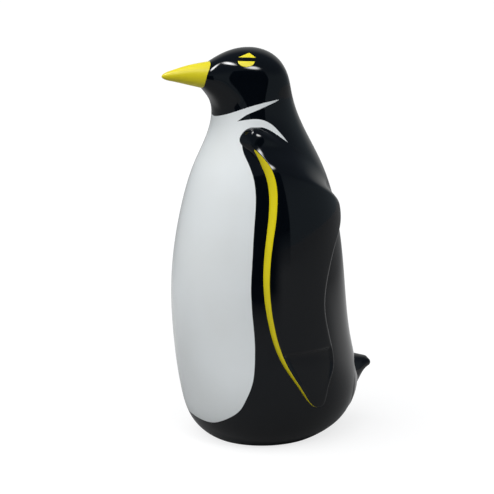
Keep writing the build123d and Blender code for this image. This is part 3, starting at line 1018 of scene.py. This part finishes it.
def build_floor():
    mesh = bpy.data.meshes.new("floor")
    corners = [(-1, -1), (1, -1), (1, 1), (-1, 1)]
    mesh.from_pydata([(x * FLOOR_HALF, y * FLOOR_HALF, 0) for x, y in corners], [], [(0, 1, 2, 3)])
    material, nodes, links, shader = new_material("floor_paper")
    shade = noise(nodes, links, *FLOOR_NOISE)
    links.new(mixed(nodes, links, shade, *FLOOR_COLOURS), shader.inputs["Base Color"])
    make_matt(shader, FLOOR_ROUGHNESS)
    path = add_node(nodes, "ShaderNodeLightPath").outputs
    place = add_node(nodes, "ShaderNodeTexCoord").outputs["Object"]
    mirrored = combined(nodes, links, "MAXIMUM", path["Is Glossy Ray"], path["Is Transmission Ray"])
    back = measured(nodes, links, "DOT_PRODUCT", place, direction(BACKDROP_TURN, 0))
    behind = ranged(nodes, links, back, FLOOR_BEHIND, (0.0, FLOOR_MIRRORED), "SMOOTHSTEP")
    reach = measured(nodes, links, "LENGTH", place)
    fade = ranged(nodes, links, reach, FLOOR_FADE, (1.0, 0.0), "SMOOTHSTEP")
    faded = combined(nodes, links, "MULTIPLY", behind, fade)
    nearby = combined(nodes, links, "MULTIPLY", mirrored, faded)
    seen = combined(nodes, links, "MAXIMUM", path["Is Camera Ray"], nearby)
    glow = ranged(nodes, links, seen, (0.0, 1.0), (0.0, FLOOR_GLOW))
    shader.inputs["Emission Color"].default_value = (1, 1, 1, 1)
    links.new(glow, shader.inputs["Emission Strength"])
    mesh.materials.append(material)
    floor = add_object("floor", mesh)


build_floor()

# World: white to the camera, grey walls and a pale ceiling as light, and in reflections a dim roof
# and a paler backdrop. A span is of heights, or of the cosine to the backdrop's middle
PALE = (1.0, 1.0, 1.0)
WALL = (0.19, 0.225, 0.25)
CEILING = (0.45, 0.45, 0.46)
CEILING_SPAN = (0.35, 0.95)
ROOF_MIRRORED = (0.10, 0.115, 0.14)
ROOF_SPAN = (0.25, 0.6)
BACKDROP = (0.42, 0.43, 0.43)
BACKDROP_SPAN = (0.64, 0.95)


def build_world():
    world = bpy.data.worlds.new("studio")
    bpy.context.scene.world = world
    world.use_nodes = True
    nodes = world.node_tree.nodes
    links = world.node_tree.links
    place = add_node(nodes, "ShaderNodeTexCoord").outputs["Generated"]
    parts = add_node(nodes, "ShaderNodeSeparateXYZ")
    links.new(place, parts.inputs[0])
    lift = parts.outputs["Z"]
    high = ranged(nodes, links, lift, CEILING_SPAN, steps="SMOOTHSTEP")
    lit = mixed(nodes, links, high, WALL, CEILING)
    dim = ranged(nodes, links, lift, ROOF_SPAN, steps="SMOOTHSTEP")
    facing = measured(nodes, links, "DOT_PRODUCT", place, direction(BACKDROP_TURN, BACKDROP_LIFT))
    behind = ranged(nodes, links, facing, BACKDROP_SPAN, steps="SMOOTHSTEP")
    mirrored = mixed(nodes, links, behind, mixed(nodes, links, dim, WALL, ROOF_MIRRORED), BACKDROP)
    path = add_node(nodes, "ShaderNodeLightPath").outputs
    light = mixed(nodes, links, path["Is Glossy Ray"], lit, mirrored)
    seen = mixed(nodes, links, path["Is Camera Ray"], light, PALE)
    links.new(seen, nodes["Background"].inputs["Color"])


build_world()

# Lamps: one wide sun, which reflections don't show, a softbox, and two strips for reflections only
LAMP_TARGET = Vector((0, 0, 0.2))
LAMP_DISTANCE = 1.6
LAMP_MIDDLE = (0.5, 0.5, 0.0)
LAMP_FADE = (0.1, 0.5)


def softbox(name, turn, lift, width, height, roll, radiance):
    """An area lamp that faces the figure and fades towards its edges."""
    data = bpy.data.lights.new(name, "AREA")
    data.shape = "RECTANGLE"
    data.size = width
    data.size_y = height
    data.energy = radiance * math.pi * width * height
    data.use_nodes = True
    nodes = data.node_tree.nodes
    links = data.node_tree.links
    place = add_node(nodes, "ShaderNodeNewGeometry")
    off = measured(nodes, links, "DISTANCE", place.outputs["Parametric"], LAMP_MIDDLE)
    fade = ranged(nodes, links, off, LAMP_FADE, (1.0, 0.0), "SMOOTHSTEP")
    links.new(fade, nodes["Emission"].inputs["Strength"])
    lamp = add_object(name, data)
    to = Vector(direction(turn, lift))
    lamp.location = LAMP_TARGET + to * LAMP_DISTANCE
    rolled = Quaternion((0, 0, 1), math.radians(roll))
    lamp.rotation_euler = (to.to_track_quat("Z", "Y") @ rolled).to_euler()
    return lamp


def sunlight(name, turn, lift, strength, spread):
    """A sun that reflections don't show."""
    data = bpy.data.lights.new(name, "SUN")
    data.energy = strength
    data.angle = math.radians(spread)
    lamp = add_object(name, data)
    lamp.rotation_euler = Vector(direction(turn, lift)).to_track_quat("Z", "Y").to_euler()
    lamp.visible_glossy = False


sunlight("overhead", turn=12, lift=55, strength=2.38, spread=75)
softbox("side_box", turn=91, lift=44, width=0.62, height=0.50, roll=0, radiance=18.0)
for strip in (
    softbox("front_strip", turn=8, lift=61, width=1.2, height=0.20, roll=-50, radiance=26.0),
    softbox("upper_strip", turn=38, lift=71, width=1.3, height=0.20, roll=-37, radiance=26.0),
):
    strip.visible_diffuse = False

# Dark screen on the camera's side as (turn, bottom, top), and a mat before it, in metres
SCREEN_REACH = 1.3
SCREEN = [
    (24, 0.30, 0.50), (27, 0.15, 0.70), (42, 0.15, 0.70), (44, 0.33, 0.34), (61, 0.33, 0.34),
    (62, 0.0, 0.45), (66, 0.0, 1.0), (104, 0.0, 1.08), (106.5, 0.0, 0.60), (107, 0.0, 0.05),
]
SCREEN_COLUMNS = 167
SCREEN_FADE = (84, 100)
SCREEN_FOOT = 0.30
MAT_TURNS = (46, 62)
MAT_REACHES = (0.48, 0.62, 0.78)
MAT_LIFT = 0.002
FELT = (0.012, 0.012, 0.014)
FELT_ROUGHNESS = 1.0
FLAG_ROW = 3


def build_flag():
    """A dark screen and mat, seen only in reflections, thinner towards the back."""
    angles, lows, highs = np.array(SCREEN).T
    turns = np.linspace(angles[0], angles[-1], SCREEN_COLUMNS)
    fades = 1 - step(turns, *SCREEN_FADE)
    points = []
    felt = []
    for turn, fade in zip(turns, fades):
        bottom = np.interp(turn, angles, lows)
        top = np.interp(turn, angles, highs)
        edges = (bottom, min(bottom + SCREEN_FOOT, top), top)
        points += [direction(turn, 0) * SCREEN_REACH + [0, 0, height] for height in edges]
        felt += [fade, 1.0, 1.0]
    faces = grid_faces(len(turns), FLAG_ROW, False)
    mat = [(turn, fade) for turn, fade in zip(turns, fades) if turn > MAT_TURNS[0]]
    faces += grid_faces(len(mat), FLAG_ROW, False, len(points))
    start, narrow, full = MAT_REACHES
    for turn, fade in mat:
        end = np.interp(turn, MAT_TURNS, (narrow, SCREEN_REACH))
        reaches = (start, min(full, end), end)
        points += [direction(turn, 0) * reach + [0, 0, MAT_LIFT] for reach in reaches]
        felt += [0.0, fade, fade]
    mesh = bpy.data.meshes.new("dark_flag")
    mesh.from_pydata(np.array(points).tolist(), [], faces)
    material, nodes, links, shader = new_material("flag_felt")
    shader.inputs["Base Color"].default_value = (*FELT, 1)
    make_matt(shader, FELT_ROUGHNESS)
    thickness = add_node(nodes, "ShaderNodeAttribute", attribute_name="felt")
    links.new(thickness.outputs["Fac"], shader.inputs["Alpha"])
    mesh.materials.append(material)
    flag = add_object("dark_flag", mesh)
    add_field(flag, "felt", felt)
    flag.visible_camera = False
    flag.visible_diffuse = False
    flag.visible_shadow = False


build_flag()

# Camera, from the photograph's framing
CAMERA_TURN = 67
CAMERA_LIFT = 11
CAMERA_DISTANCE = 1.2
CAMERA_TARGET = Vector((-0.0046, -0.0108, 0.1464))
CAMERA_LENS = 113.5
CAMERA_SENSOR = 36.0
CAMERA_FAR = 60.0


def build_camera():
    data = bpy.data.cameras.new("camera")
    data.sensor_width = CAMERA_SENSOR
    data.lens = CAMERA_LENS
    data.clip_end = CAMERA_FAR
    camera = add_object("camera", data)
    back = Vector(direction(CAMERA_TURN, CAMERA_LIFT))
    camera.location = CAMERA_TARGET + back * CAMERA_DISTANCE
    camera.rotation_euler = back.to_track_quat("Z", "Y").to_euler()
    bpy.context.scene.camera = camera


build_camera()
bpy.context.scene.view_settings.view_transform = "Standard"
